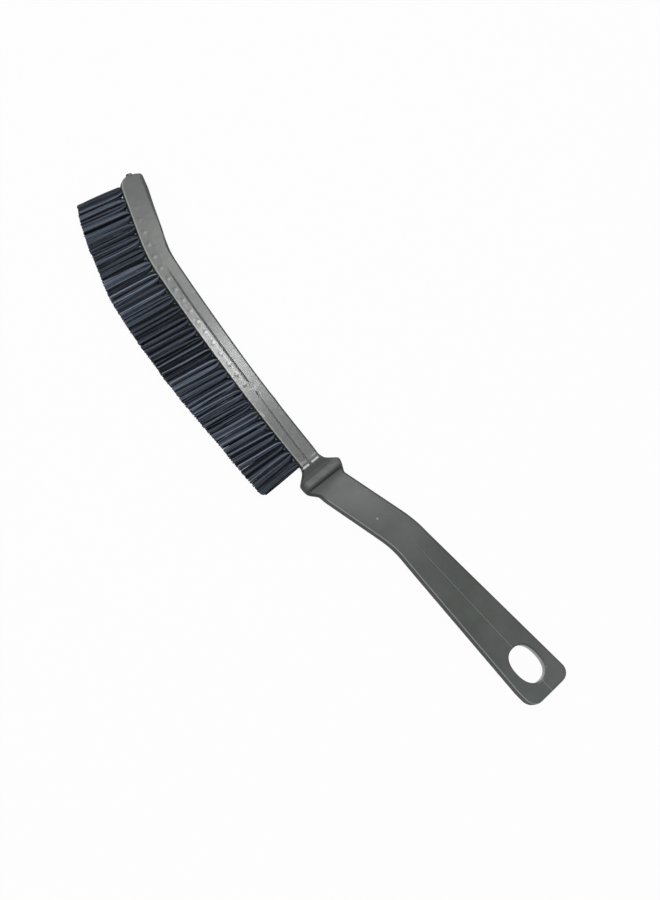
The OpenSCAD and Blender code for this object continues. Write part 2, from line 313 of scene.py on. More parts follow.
def relief(s, u):
    """Height of the face at s, u above the plain swept face."""
    if s > 0:
        return RIDGE_HEIGHT * ramp(s, *RIDGE_RISE) * max(0, 1 - abs(u) / RIDGE_HALF)
    gap = 0.8 * ramp(abs(s - GROOVE_GAP), 4, 2)
    line = GROOVE_DEPTH * between(s, *GROOVE_SPAN) * (1 - gap) * (1 - 0.78 * ramp(s, *GROOVE_SHALLOW))
    beside_line = min(1, abs(u - line_aside(s)) / GROOVE_HALF)
    height = -line * (0.5 + 0.5 * math.cos(math.pi * beside_line))
    height -= BLADE_SLOPE * abs(u) * between(s, *SLOPE_SPAN)
    index = round(TUFTS - 1 - (-s - MARK_AHEAD - TUFT_START) / TUFT_PITCH)
    if 0 <= index < TUFTS:
        away = math.hypot(s + MARK_AHEAD - tuft_s(index), u - MARK_ASIDE) / MARK_RADIUS
        height += MARK_HEIGHT * max(0, 1 - away * away) ** 2 * between(s, *MARK_SPAN)
    return height


def face_height(s, u):
    """Height of the broad face over the mid-plane."""
    crown = CROWN / 2 * ramp(s, BEAD_LEN / 2, FRONT_LEN)
    rim = half_back(s) - back_edge(s) if u > 0 else half_front(s) - front_edge(s)
    return half_thickness(s) + crown * (1 - (u / rim) ** 2) + relief(s, u)


EDGE_STEPS = 6
BACK_STEPS = 9
LINE_STEPS = 14
FRONT_STEPS = 17
LINE_ZONE = 0.7


def round_edge(outer, inner, top, drop, chamfer=0):
    """A quarter round from the wall at outer to the face at inner. It is flat where chamfer is 1."""
    points = []
    for k in range(EDGE_STEPS + 1):
        angle = math.pi / 2 * k / EDGE_STEPS
        rest = 1 - k / EDGE_STEPS
        across = mix(inner, outer, mix(math.cos(angle), rest, chamfer))
        points.append((across, top - drop * mix(1 - math.sin(angle), rest, chamfer)))
    return points


def section(s):
    """One closed section of the moulding at s, from the back over the top and round below."""
    back, front = half_back(s), half_front(s)
    wall_back, wall_front = back - SEAM, SEAM - front
    rim_back, rim_front = back - back_edge(s), front_edge(s) - front
    zone = min(LINE_ZONE, rim_back * 0.9, -rim_front * 0.9)
    line = line_aside(s)
    across = [mix(rim_back, line + zone, k / BACK_STEPS) for k in range(1, BACK_STEPS)]
    across += [line + mix(zone, -zone, k / LINE_STEPS) for k in range(LINE_STEPS + 1)]
    across += [mix(line - zone, rim_front, k / FRONT_STEPS) for k in range(1, FRONT_STEPS)]
    drop_back, drop_front = EDGE_DROP * back_edge(s), EDGE_DROP * front_edge(s)
    chamfer = ramp(s, *BACK_CHAMFER)
    upper = [(back, 0), (wall_back, SEAM_HALF), (wall_back, 0.2 * half_thickness(s))]
    upper += round_edge(wall_back, rim_back, face_height(s, rim_back), drop_back, chamfer)
    upper += [(u, face_height(s, u)) for u in across]
    upper += reversed(round_edge(wall_front, rim_front, face_height(s, rim_front), drop_front))
    upper += [(wall_front, 0.45 * half_thickness(s)), (wall_front, SEAM_HALF), (-front, 0)]
    lower = [(u, -height) for u, height in reversed(upper[1:-1])]
    return upper + lower


def spread(start, end, pitch):
    """Places from start up to end, evenly spaced by the pitch or a little less."""
    count = math.ceil((end - start) / pitch)
    return [mix(start, end, k / count) for k in range(count)]


NECK_START = -NECK_LEN - 2
HEEL_END = BEAD_LEN / 2 + 5
stations = [S_TIP + TIP_ROUNDING * (1 - math.cos(math.radians(a))) for a in range(0, 90, 18)]
stations += [S_TIP + mix(TIP_ROUNDING, TIP_CORNER, (k / 16) ** 1.4) for k in range(16)]
stations += spread(S_TIP + TIP_CORNER, NECK_START, 0.28)
stations += spread(NECK_START, HEEL_END, 0.13)
stations += spread(HEEL_END, S_END - END_CORNER, 0.9)
stations += [S_END - END_CORNER * (1 - math.sin(math.radians(a))) for a in range(0, 54, 4)]
stations += [S_END - END_ROUNDING * (1 - math.cos(math.radians(a))) for a in range(80, -1, -8)]
stations = sorted(set(round(s, 4) for s in stations))

rings = [[beside(s, u, height) for u, height in section(s)] for s in stations]
around = len(rings[0])
faces = [list(range(around))]
for j in range(len(rings) - 1):
    here, ahead = j * around, (j + 1) * around
    for k in range(around):
        after = (k + 1) % around
        faces.append([here + k, ahead + k, ahead + after, here + after])
faces.append([(len(rings) - 1) * around + k for k in reversed(range(around))])

# The collar's middle is where the CAD has it: both outlines share their rear and upper corners.
box_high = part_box("handle_body")[1]
end_x = max(point.x for ring in rings for point in ring)
end_y = max(point.y for ring in rings for point in ring)
middle = Vector((box_high.x / MM - end_x, box_high.y / MM - end_y, box_high.z / MM / 2))


def solid(name, points, faces):
    """A mesh object from points in millimetres, measured from the collar's middle."""
    mesh = bpy.data.meshes.new(name)
    mesh.from_pydata([(Vector(point) + middle) * MM for point in points], [], faces)
    mesh.update()
    made = bpy.data.objects.new(name, mesh)
    bpy.context.scene.collection.objects.link(made)
    return made


def baked(thing):
    """Applies an object's modifiers: its mesh becomes the evaluated one."""
    evaluated = thing.evaluated_get(bpy.context.evaluated_depsgraph_get())
    mesh = bpy.data.meshes.new_from_object(evaluated)
    thing.modifiers.clear()
    thing.data = mesh


def combine(thing, tool, operation):
    """Joins the tool to an object or cuts it out of it, and removes the tool."""
    cut = thing.modifiers.new(operation, "BOOLEAN")
    cut.object = tool
    cut.operation = operation
    cut.solver = "MANIFOLD"
    baked(thing)
    bpy.data.objects.remove(tool)


def loft(rings):
    """Faces over a stack of rings of equal length, closed by a fan at either end."""
    count = len(rings[0])
    points = [point for ring in rings for point in ring]
    points += [sum(rings[0], Vector()) / count, sum(rings[-1], Vector()) / count]
    last = len(points) - 2 - count
    made = []
    for k in range(count):
        after = (k + 1) % count
        made.append((len(points) - 2, after, k))
        made.append((len(points) - 1, last + k, last + after))
        for j in range(len(rings) - 1):
            base = j * count
            made.append((base + k, base + after, base + count + after, base + count + k))
    return points, made


moulding = solid("moulding", [point for ring in rings for point in ring], faces)

# The gate vestige is the stub left on the tip, where the plastic ran into the mould and was
# snapped off its runner. Each ring has its distance out from the tip and its radius.
GATE_RINGS = [(-2.4, 2.3), (-0.6, 2.1), (0.1, 1.55), (0.7, 1.3), (1.35, 1.0), (1.95, 0.65)]
GATE_FLATNESS = 0.85


def full_turn(count):
    """Angles evenly spaced round a circle."""
    return [math.radians(360 / count * k) for k in range(count)]


gate_rings = []
for out, radius in GATE_RINGS:
    gate_rings.append([
        beside(S_TIP - out, radius * math.cos(a), GATE_FLATNESS * radius * math.sin(a))
        for a in full_turn(24)
    ])
combine(moulding, solid("gate", *loft(gate_rings)), "UNION")

# The hanging hole is a squarish oval with a rounded rim, a little narrower at the seam. Its
# cutter reaches a little past both faces.
HOLE_LEN = 16.8
HOLE_WIDTH = 11.6
HOLE_INSET = 15
HOLE_POWER = 2.3
HOLE_RIM = 0.8
HOLE_SEAM = 0.08
HOLE_CUTTER_RISE = 0.5
hole_profile = [(HOLE_RIM * 0.83 + HOLE_CUTTER_RISE, HOLE_CUTTER_RISE)]
hole_profile += [
    (HOLE_RIM * (1 - math.cos(math.radians(a))), HOLE_RIM * (math.sin(math.radians(a)) - 1))
    for a in range(80, -1, -16)
]


def hole_point(angle, out, side, above):
    """A point of the hole's wall or rim, at a height above the face beside it on one side."""
    cosine, sine = math.cos(angle), math.sin(angle)
    power = 2 / HOLE_POWER
    a = HOLE_LEN / 2 * math.copysign(abs(cosine) ** power, cosine)
    b = HOLE_WIDTH / 2 * math.copysign(abs(sine) ** power, sine)
    normal = Vector((
        abs(a) ** (HOLE_POWER - 1) / HOLE_LEN ** HOLE_POWER,
        abs(b) ** (HOLE_POWER - 1) / HOLE_WIDTH ** HOLE_POWER,
    )).normalized()
    at = S_END - HOLE_INSET + a + math.copysign(normal.x, a) * out
    across = b + math.copysign(normal.y, b) * out
    return beside(at, across, side * (face_height(at, across) + above))


hole_rings = []
for side, profile in ((-1, hole_profile), (0, [(-HOLE_SEAM, 0)]), (1, hole_profile[::-1])):
    for out, above in profile:
        hole_rings.append([hole_point(angle, out, side, above) for angle in full_turn(96)])
combine(moulding, solid("hole", *loft(hole_rings)), "DIFFERENCE")

# Each tuft sits in a blind hole drilled into the blade's edge, and leans a little to the tip.
# A hole's rings, from its foot to past its flared mouth, have their radius and distance out.
BORE_RINGS = [(1.36, -5), (1.4, -4.9), (1.4, -0.3), (1.45, -0.1), (1.55, 0.05), (1.6, 0.8)]
LEAN_TIP = 13
LEAN_MIDDLE = 8
LEAN_HEEL = -2
LEAN_TIP_STRETCH = (0.66, 1)
LEAN_HEEL_STRETCH = (0, 0.14)


def tuft_lean(index):
    """How far a tuft leans to the tip, from its place in the row."""
    from_heel = (TUFTS - 1 - index) / (TUFTS - 1)
    lower = mix(LEAN_HEEL, LEAN_MIDDLE, ramp(from_heel, *LEAN_HEEL_STRETCH))
    return math.radians(mix(lower, LEAN_TIP, ramp(from_heel, *LEAN_TIP_STRETCH)))


def tuft_mouth(index):
    """The middle of a tuft's mouth, on the blade's edge."""
    s = tuft_s(index)
    return beside(s, -half_front(s))


def in_tuft(index, along, up, out):
    """A point beside the middle of a tuft's mouth: along the row, up, and out of the hole."""
    lean = tuft_lean(index)
    x = along * math.cos(lean) - out * math.sin(lean)
    y = -along * math.sin(lean) - out * math.cos(lean)
    return tuft_mouth(index) + Vector((x, y, up))


points, faces = [], []
for index in range(TUFTS):
    bore_rings = []
    for radius, out in BORE_RINGS:
        bore_rings.append([
            in_tuft(index, radius * math.cos(a), radius * math.sin(a), out) for a in full_turn(24)
        ])
    bore_points, bore_faces = loft(bore_rings)
    faces += [[corner + len(points) for corner in face] for face in bore_faces]
    points += bore_points
combine(moulding, solid("bores", points, faces), "DIFFERENCE")

moulding_mesh = moulding.data
moulding_mesh.shade_smooth()
moulding_mesh.set_sharp_from_angle(angle=math.radians(35))
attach(moulding, "root")
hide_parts("handle_body")

# One map holds each point's place along the centre line and across it, the other its distance
# from the back and front edges, all in millimetres, so that wear, painted shade and painted
# highlights follow the moulding.
seats = [(s, u) for s in stations for u, height in section(s)]
seat_tree = kdtree.KDTree(len(seats))
for k, (s, u) in enumerate(seats):
    seat_tree.insert(beside(s, u), k)
seat_tree.balance()
laid, edged = [], []
for vertex in moulding_mesh.vertices:
    spot = vertex.co / MM - middle
    spot.z = 0
    nearest, k = seat_tree.find(spot)[:2]
    s, u = seats[k]
    heading = place(s)[2]
    away = spot - nearest
    s = min(S_END, max(S_TIP, s + away.x * math.cos(heading) + away.y * math.sin(heading)))
    u += away.y * math.cos(heading) - away.x * math.sin(heading)
    laid.append((s, u))
    edged.append((half_back(s) - u, half_front(s) + u))
for name, places in (("lay", laid), ("rims", edged)):
    layer = moulding_mesh.uv_layers.new(name=name)
    for loop in moulding_mesh.loops:
        layer.uv[loop.index].vector = places[loop.vertex_index]


class Value:
    """A socket in a node tree, on which Python's operators add Math nodes."""

    def __init__(self, wires, socket):
        self.wires = wires
        self.socket = socket

    def out(self, name):
        outputs = self.socket.node.outputs
        return Value(self.wires, next(s for s in outputs if s.enabled and s.name == name))

    def math(self, operation, *others):
        return self.wires.math(operation, self, *others)

    def __add__(self, other):
        return self.math("ADD", other)

    def __radd__(self, other):
        return self.wires.math("ADD", other, self)

    def __sub__(self, other):
        return self.math("SUBTRACT", other)

    def __rsub__(self, other):
        return self.wires.math("SUBTRACT", other, self)

    def __mul__(self, other):
        return self.math("MULTIPLY", other)

    def __rmul__(self, other):
        return self.wires.math("MULTIPLY", other, self)

    def __truediv__(self, other):
        return self.math("DIVIDE", other)

    def __pow__(self, other):
        return self.math("POWER", other)

    def __lt__(self, other):
        return self.math("LESS_THAN", other)

    def __abs__(self):
        return self.math("ABSOLUTE")


class Wires:
    """A node tree to which nodes are added with their settings and their sockets' values."""

    def __init__(self, tree):
        self.tree = tree

    def add(self, kind, settings=None, sockets=None):
        node = self.tree.nodes.new(kind)
        for name, setting in (settings or {}).items():
            setattr(node, name, setting)
        for key, value in (sockets or {}).items():
            self.put(node, key, value)
        outputs = [s for s in node.outputs if s.enabled] or [*node.outputs, None]
        return Value(self, outputs[0])

    def put(self, node, key, value):
        socket = node.inputs[key] if isinstance(key, int) else next(
            s for s in node.inputs if s.enabled and s.name == key
        )
        if isinstance(value, Value):
            self.tree.links.new(value.socket, socket)
        else:
            socket.default_value = value

    def math(self, operation, *values):
        return self.add("ShaderNodeMath", {"operation": operation}, dict(enumerate(values)))

    def step(self, value, start, end):
        """A smooth rise from 0 at start to 1 at end."""
        sockets = {"Value": value, "From Min": start, "From Max": end}
        return self.add("ShaderNodeMapRange", {"interpolation_type": "SMOOTHSTEP"}, sockets)

    def between(self, value, rise, full, fade, end):
        """1 from full to fade, with an ease from 0 at rise and back to 0 at end."""
        return self.step(value, rise, full) * (1 - self.step(value, fade, end))

    def noise(self, vector, scale, detail, roughness=0.5):
        sockets = {"Vector": vector, "Scale": scale, "Detail": detail, "Roughness": roughness}
        return self.add("ShaderNodeTexNoise", {}, sockets)

    def blend(self, share, first, second):
        sockets = {"Factor": share, "A": first, "B": second}
        return self.add("ShaderNodeMix", {"data_type": "RGBA"}, sockets)


def new_material(name):
    """A new material with its wires and its shader."""
    made = bpy.data.materials.new(name)
    made.use_nodes = True
    return made, Wires(made.node_tree), made.node_tree.nodes["Principled BSDF"]


# Moulded polypropylene: grey-green, with faint flow clouding, a satin skin, and paler stressed
# plastic on the press marks and at a few scuffs. Painted shade darkens the groove, the neck and
# heel round the collar's bead, the back's rim and the wall on the bristles' side. Painted
# highlights lighten the ridge, the bead's crest, the front edge, the handle's end, mottled flecks
# and the row of marks mid-blade, and white painted glints sit on the marks there and at the
# neck's step. A scuff has its place along and across, half its length and half its width.
PLASTIC = (0.145, 0.157, 0.142, 1)
PLASTIC_DARK = (0.105, 0.117, 0.104, 1)
PLASTIC_PALE = (0.52, 0.55, 0.53, 1)
# White of the painted glints.
GLINT_WHITE = (0.86, 0.89, 0.87, 1)
# The dark colour of painted shade in creases, rims and walls.
PAINTED_SHADE = (0.045, 0.05, 0.045, 1)
SCUFFS = [(-42.4, 1.0, 2.6, 0.8), (-33.6, -3.6, 2.2, 0.7)]
FLECK = (28.2, -1.6, 0.55, 0.45)
BLADE_HEEL = (-9, -7)
PALE_MARKS_SPAN = (S_BENT - 12, -85, -52, -44)
PALE_ROW_SPAN = (-80, -66, -50, -45)
BRIGHT_SPAN = (-86, -76, -64, -50)
LIP_SPAN = (-8.2, -7.6, -6.4, -6)
LIP_DASH_SPAN = (-7, -6.85, -6.3, -6.1)
SHADED_GROOVE_SPAN = (-108, -75)
SHEEN_FLECK_SPAN = (-110, -80, -48, -34)
NECK_SHADE_SPAN = (-6.4, -5.6, -3, -2.2)
HEEL_SHADE_SPAN = (1.2, 2, 3, 9)
TUFT_WALL_SPAN = (-140.6, -139.8, -8.2, -7.4)
COLLAR_SPAN = (-8, -6, 3, 8)
SMOOTH_LIP_SPAN = (-9.5, -8, -6, -4.5)
plastic, wires, shader = new_material("grey-green plastic")
where = wires.add("ShaderNodeTexCoord").out("Object")


def map_axes(name):
    """The two numbers that a UV map holds."""
    uv_map = wires.add("ShaderNodeUVMap", {"uv_map": name})
    axes = wires.add("ShaderNodeSeparateXYZ", {}, {"Vector": uv_map})
    return axes.out("X"), axes.out("Y")


def oval(s, u, length, width, core):
    """1 in the core of an oval on the moulding, with an ease to 0 at its edge."""
    away = ((along - s) / length) ** 2 + ((aside - u) / width) ** 2
    return 1 - wires.step(away, core, 1)


along, aside = map_axes("lay")
from_back, from_front = map_axes("rims")
clouds = wires.noise(where, 65, 3)
mottle = wires.noise(where, 420, 3, 0.6)
on_blade = 1 - wires.step(along, *BLADE_HEEL)
tuft_phase = (along + MARK_AHEAD + TUFT_START) / TUFT_PITCH
to_mark = (tuft_phase - tuft_phase.math("ROUND")) * TUFT_PITCH
from_row = aside - MARK_ASIDE
mark_reach = (to_mark * to_mark + from_row * from_row).math("SQRT") + 0.5 * mottle
marks = (1 - wires.step(mark_reach, 0.35, 1.5)) * wires.between(along, *PALE_MARKS_SPAN) * on_blade
# The row's paleness mid-blade is a painted highlight; the marks' paleness is stressed plastic.
row = 1 - wires.step(abs(from_row - 0.45) + mottle * 0.9, 0.45, 0.85)
row = row * wires.between(along, *PALE_ROW_SPAN) * on_blade
pale_marks_and_sheen = 0.9 * marks + 0.9 * row
worn = wires.step(mottle + 0.25 * wires.noise(where, 1500, 1), 0.6, 0.72)
for scuff in SCUFFS:
    pale_marks_and_sheen = pale_marks_and_sheen + oval(*scuff, 0.2) * worn
pale_marks_and_sheen = (pale_marks_and_sheen + 1.2 * oval(*FLECK, 0.3)).math("MINIMUM", 1.2)
# White painted glints: dashes on the neck's step, and glints on the press marks and their row
# where the blade is brightest.
dashes = wires.step(abs(aside + 0.85), 0.55, 0.8) * (1 - wires.step(aside, 3.2, 3.5))
glints = (marks + row * wires.step(mottle, 0.42, 0.56)).math("MINIMUM", 0.95)
glints = glints * wires.between(along, *BRIGHT_SPAN) + dashes * wires.between(along, *LIP_DASH_SPAN)
# Painted shade in the groove.
from_groove = abs(aside - GROOVE_DRIFT * wires.between(along, *GROOVE_DRIFT_SPAN))
groove = (1 - wires.step(from_groove, 0.1, 0.4)) * on_blade * wires.step(along, *SHADED_GROOVE_SPAN)
groove = groove * (1 - 0.75 * wires.step(along, *GROOVE_SHALLOW))
# Pale flecks over the blade's middle are painted sheen; they also raise the bumps.
front_half = 1 - wires.step(aside, -0.6, -0.4)
sheen_flecks = wires.step(mottle, 0.5, 0.72) * on_blade * (0.35 + 0.65 * front_half)
sheen_flecks = sheen_flecks * wires.between(along, *SHEEN_FLECK_SPAN)
# Painted shade on the neck before the collar's bead and on the heel behind it.
painted_neck_shade = wires.between(along, *NECK_SHADE_SPAN)
painted_heel_shade = wires.between(along, *HEEL_SHADE_SPAN)
# Painted shade near the collar's guard on the bristles' side, and on the wall on that side,
# darkest between the tufts.
painted_guard_shade = (1 - wires.step(from_front, 0.2, 1.3)) * (1 - wires.step(abs(along), 3, 6)) * 0.5
# Painted shade on the round of the back's edge.
back_rim = 1 - wires.step(from_back, 0.3, 0.85)
front_line = wires.between(from_front, 0.15, 0.35, 0.6, 0.85)
front_line = front_line * (1 - wires.step(abs(along), 8.5, 5.5))
front_wall = 1 - wires.step(from_front, 0.08, 0.2)
painted_wall_shade = front_wall * (0.6 + 0.3 * wires.between(along, *TUFT_WALL_SPAN))
# Painted highlights: pale lines on the handle's ridge, on the bead's crest and along the front
# edge, and paler towards the handle's end.
ridge = (1 - wires.step(abs(aside), 0.12, 0.3)) * wires.step(along, *RIDGE_RISE)
bead_top = (1 - wires.step(abs(along), 0.6, 1.3)) * wires.step(mottle, 0.35, 0.6)
painted_highlights = 0.32 * ridge + 0.1 * bead_top + 0.55 * front_line + 0.1 * wires.step(along, 78, 128)
color = wires.blend(wires.step(clouds, 0.3, 0.7), PLASTIC_DARK, PLASTIC)
coats = [
    (0.5 * painted_neck_shade + 0.75 * painted_heel_shade, PAINTED_SHADE),
    (0.45 * sheen_flecks, PLASTIC_PALE),
    (0.7 * pale_marks_and_sheen, PLASTIC_PALE),
    (painted_highlights, PLASTIC_PALE),
    (glints, GLINT_WHITE),
    (0.22 * groove + 0.5 * back_rim, PAINTED_SHADE),
    (painted_wall_shade.math("MAXIMUM", painted_guard_shade), PAINTED_SHADE),
]
for cover, coat in coats:
    color = wires.blend(cover, color, coat)
wires.put(shader, "Base Color", color)
back_half = wires.step(aside, -0.3, 0.3)
polish = wires.step(along + 14 * (1 - back_half), -83, -56) * (1 - wires.step(along, -48.5, -26))
at_collar = wires.between(along, *COLLAR_SPAN)
at_lip = wires.between(along, *LIP_SPAN)
roughness = 0.23 + 0.04 * mottle - 0.08 * polish + 0.14 * at_collar + 0.12 * at_lip + 0.5 * front_wall
wires.put(shader, "Roughness", roughness)
bumps = (0.3 + 0.7 * sheen_flecks) * (wires.noise(where, 380, 1) - 0.5) + 0.3 * (clouds - 0.5)
bumps = bumps * (1 - wires.between(along, *SMOOTH_LIP_SPAN))
normal = wires.add("ShaderNodeBump", {}, {"Strength": 0.25, "Distance": 0.2 * MM, "Height": bumps})
wires.put(shader, "Normal", normal)
moulding_mesh.materials.clear()
moulding_mesh.materials.append(plastic)

# The 26 tufts are bundles of stiff black nylon filament, 0.4 mm thick, folded in two over a
# staple deep in their holes. They splay until they meet the next tuft's, and are trimmed to one
# curve. The core strands of a tuft stand in a flat, even row, so that no light comes through.
TUFT_LENGTHS = [
    19.1, 19.7, 20.1, 20.2, 20.0, 20.1, 20.7, 21.2, 21.5, 21.6, 21.7, 21.9, 21.7,
    21.7, 21.7, 21.6, 21.4, 21.2, 20.9, 20.7, 20.4, 20.2, 20.1, 19.8, 19.6, 19.3,
]
TUFT_SIZES = {
    "Strands": 74,
    "Core strands": 26,
    "Strand radius": 0.2 * MM,
    "Hole radius": 1.32 * MM,
    "Fold depth": 4.65 * MM,
    "Fold to staple": 0.35 * MM,
    "Beside the staple": 0.42 * MM,
    "Half thickness of the fan": 1.85 * MM,
    "Splay run": 0.8 * MM,
    "Unevenness": 0.2 * MM,
    "Stray": 0.3 * MM,
    "Wander": 1.2 * MM,
    "Clumping": 0.45,
    "Seed": 5,
}
STRAND_POINTS = 10
STRAND_SIDES = 5
FAN_OVERLAP = 0.25
CORE_SPREAD = 1.05
GOLDEN_ANGLE = 2.39996
TUFT_TWIST = 1.7
BANDS_ACROSS = 2.6
BANDS_APART = 5.3
WANDER_APART = 7.3


def along_row(at_tip, amid, at_heel):
    """A length for each tuft: the two end tufts have their own."""
    return [at_tip * MM] + [amid * MM] * (TUFTS - 2) + [at_heel * MM]


# The strands are trimmed to a line through the ends of the next tufts: trim is how much longer a
# strand gets along the row. The fan is half a tuft's width, fan_tip the same at the ends of the
# bristles. The first and last tufts are moved inwards by their shift, and the last has a round
# corner. The core strands of the others overlap the next tuft's.
chance = random.Random(26)
tips = [in_tuft(index, 0, 0, TUFT_LENGTHS[index]) for index in range(TUFTS)]
gaps = [(tips[k + 1] - tips[k]).length for k in range(TUFTS - 1)]
gaps = [gaps[0], *gaps, gaps[-1]]
spans = [(gaps[index] + gaps[index + 1]) / 4 + FAN_OVERLAP for index in range(TUFTS)]
trims = []
for index in range(TUFTS):
    edge = tips[min(index + 1, TUFTS - 1)] - tips[max(index - 1, 0)]
    cosine, sine = math.cos(tuft_lean(index)), math.sin(tuft_lean(index))
    trims.append(-(edge.x * sine + edge.y * cosine) / (edge.x * cosine - edge.y * sine))
bristles = solid("bristles", [tuft_mouth(index) for index in range(TUFTS)], [])
row_values = {
    "mouth": [tuple(vertex.co) for vertex in bristles.data.vertices],
    "lean": [tuft_lean(index) + chance.uniform(-0.01, 0.01) for index in range(TUFTS)],
    "reach": [(length + chance.uniform(-0.12, 0.12)) * MM for length in TUFT_LENGTHS],
    "tuft": [float(index) for index in range(TUFTS)],
    "fan": along_row(1.95, 2.6, 1.85),
    "fan_tip": [width * MM for width in (1.8, *spans[1:-1], 2.2)],
    "shift": along_row(0.5, 0, -0.7),
    "shift_tip": along_row(0.7, 0, -0.95),
    "corner": along_row(0, 0, 1.8),
    "overlap": along_row(0, 0.45, 0),
    "trim": trims,
    "tone": [chance.uniform(0.6, 1.25) for index in range(TUFTS)],
}
for name, values in row_values.items():
    kind = "FLOAT_VECTOR" if name == "mouth" else "FLOAT"
    attribute = bristles.data.attributes.new(name, kind, "POINT")
    for k, value in enumerate(values):
        if name == "mouth":
            attribute.data[k].vector = value
        else:
            attribute.data[k].value = value

tufts = bpy.data.node_groups.new("row of tufts", "GeometryNodeTree")
tufts.interface.new_socket("Row", in_out="OUTPUT", socket_type="NodeSocketGeometry")
tufts.interface.new_socket("Mouths", in_out="INPUT", socket_type="NodeSocketGeometry")
inputs = {}
for name, size in TUFT_SIZES.items():
    kind = "NodeSocketInt" if isinstance(size, int) else "NodeSocketFloat"
    inputs[name] = tufts.interface.new_socket(name, in_out="INPUT", socket_type=kind).identifier
finish = tufts.interface.new_socket(
    "Material", in_out="INPUT", socket_type="NodeSocketMaterial"
).identifier
wires = Wires(tufts)
given = wires.add("NodeGroupInput")
strands = wires.add(
    "GeometryNodeDuplicateElements",
    {"domain": "POINT"},
    {"Geometry": given.out("Mouths"), "Amount": given.out("Strands")},
)


def field(name, kind="FLOAT"):
    """An attribute of the tufts or of their strands."""
    return wires.add("GeometryNodeInputNamedAttribute", {"data_type": kind}, {"Name": name})


def chances(offset, low=-1.0):
    """A random number for each strand, up to 1."""
    limits = {"Min": low, "Max": 1.0, "Seed": given.out("Seed") + offset}
    return wires.add("FunctionNodeRandomValue", {"data_type": "FLOAT"}, limits)


def store(geometry, name, value):
    """Writes a value as an attribute of the points."""
    settings = {"data_type": "FLOAT", "domain": "POINT"}
    sockets = {"Geometry": geometry, "Name": name, "Value": value}
    return wires.add("GeometryNodeStoreNamedAttribute", settings, sockets)


# A strand's seat is its place in the section of its tuft, from -1 to 1 along the row and up.
# Bands of light and dark strands lie across each tuft, taken from its own stretch of a noise.
number = strands.out("Duplicate Index")
in_core = number < given.out("Core strands") - 0.5
rank = (number - given.out("Core strands") + 0.5).math("MAXIMUM", 0)
seat_out = (rank / (given.out("Strands") - given.out("Core strands"))) ** 0.5
seat_turn = number * GOLDEN_ANGLE + field("tuft") * TUFT_TWIST
seat_height = (seat_out + 0.25 * in_core) * seat_turn.math("SINE")
even = (number + 0.5) / given.out("Core strands") * (2 * CORE_SPREAD) - CORE_SPREAD
seat_aside = seat_out * seat_turn.math("COSINE") + even * in_core
in_bands = seat_aside * BANDS_ACROSS + field("tuft") * BANDS_APART
bands = wires.add("ShaderNodeCombineXYZ", {}, {"X": in_bands})
bands = wires.step(wires.noise(bands, 1.0, 1), 0.36, 0.64)
# Painted light and shade: strands in the middle of each half of a tuft are lighter, as lit tops of
# bundles, and the core strands are painted dark, as if in shade.
crest_painted_light = 1 - 0.5 * wires.step(abs(abs(seat_aside) - 0.45), 0.2, 0.4)
tone_and_painted_shade = (0.4 + 0.6 * chances(5, 0.0)) * bands * wires.step(abs(seat_height), 0.1, 0.4)
stored = {
    "seat_x": seat_aside,
    "seat_y": seat_height,
    "core": in_core,
    "stray_x": chances(1),
    "stray_y": chances(2),
    "cut": chances(3),
    "bow": chances(4),
    "tone_and_painted_shade": tone_and_painted_shade * crest_painted_light * field("tone"),
}
placed = strands
for name, value in stored.items():
    placed = store(placed, name, value)
line = wires.add("GeometryNodeCurvePrimitiveLine", {}, {"Start": (0, 0, 0), "End": (0, 0, 1)})
line = wires.add("GeometryNodeResampleCurve", {}, {"Curve": line, "Count": STRAND_POINTS})
placed = wires.add("GeometryNodeInstanceOnPoints", {}, {"Points": placed, "Instance": line})
placed = wires.add("GeometryNodeRealizeInstances", {}, {"Geometry": placed})

# Along a strand, point 0 is at the fold, 1 beside the staple, 2 at the mouth, the last the tip.
point = wires.add("GeometryNodeSplineParameter").out("Index")
share = ((point - 2).math("MAXIMUM", 0) / (STRAND_POINTS - 3)) ** 1.7
at_fold = point < 0.5
at_staple = (point < 1.5) - at_fold
seat_x, seat_y, core = field("seat_x"), field("seat_y"), field("core")
outer = seat_x.math("MAXIMUM", 0)
clumping = given.out("Clumping") * wires.step(abs(seat_y), 0.1, 0.5)
to_clump = (0.5 * seat_x.math("SIGN") - seat_x) * clumping
tip_x = (seat_x + to_clump * 0.5) * field("fan_tip") + field("shift_tip")
reach = field("reach") + given.out("Unevenness") * field("cut") + field("trim") * tip_x
reach = reach - field("corner") * outer * outer
depth = given.out("Fold depth")
out = share * reach - at_fold * depth - at_staple * (depth - given.out("Fold to staple"))
run = given.out("Splay run") * (1 - 0.7 * core)
splayed = 1 - (out.math("MAXIMUM", 0) / run * -1).math("EXPONENT")
hole = given.out("Hole radius") - given.out("Strand radius")
stray = given.out("Stray") * (1 - 0.6 * core)
bend = (share * math.pi).math("SINE")
seat = {"X": seat_x * 1.6 + field("tuft") * WANDER_APART, "Y": seat_y * 0.9}
wander = wires.noise(wires.add("ShaderNodeCombineXYZ", {}, seat), 1.0, 1) - 0.5
drift = field("stray_x") * stray + wander * given.out("Wander")
half_x = hole + (field("fan") - hole) * splayed + (field("fan_tip") - field("fan")) * share
half_x = half_x + field("overlap") * core * share
row_x = (seat_x + to_clump * (1 - 0.5 * share)) * half_x + drift * share + field("bow") * bend * stray
row_x = row_x + field("shift") * splayed + (field("shift_tip") - field("shift")) * share
half_y = hole + (given.out("Half thickness of the fan") - hole) * share
side_y = seat_y.math("SIGN") * abs(seat_y * hole).math("MAXIMUM", given.out("Beside the staple"))
row_y = seat_y * half_y * (1 - at_fold - at_staple) + side_y * at_staple
row_y = row_y + field("stray_y") * stray * share * 0.7
lean = field("lean")
lean_sin, lean_cos = lean.math("SINE"), lean.math("COSINE")
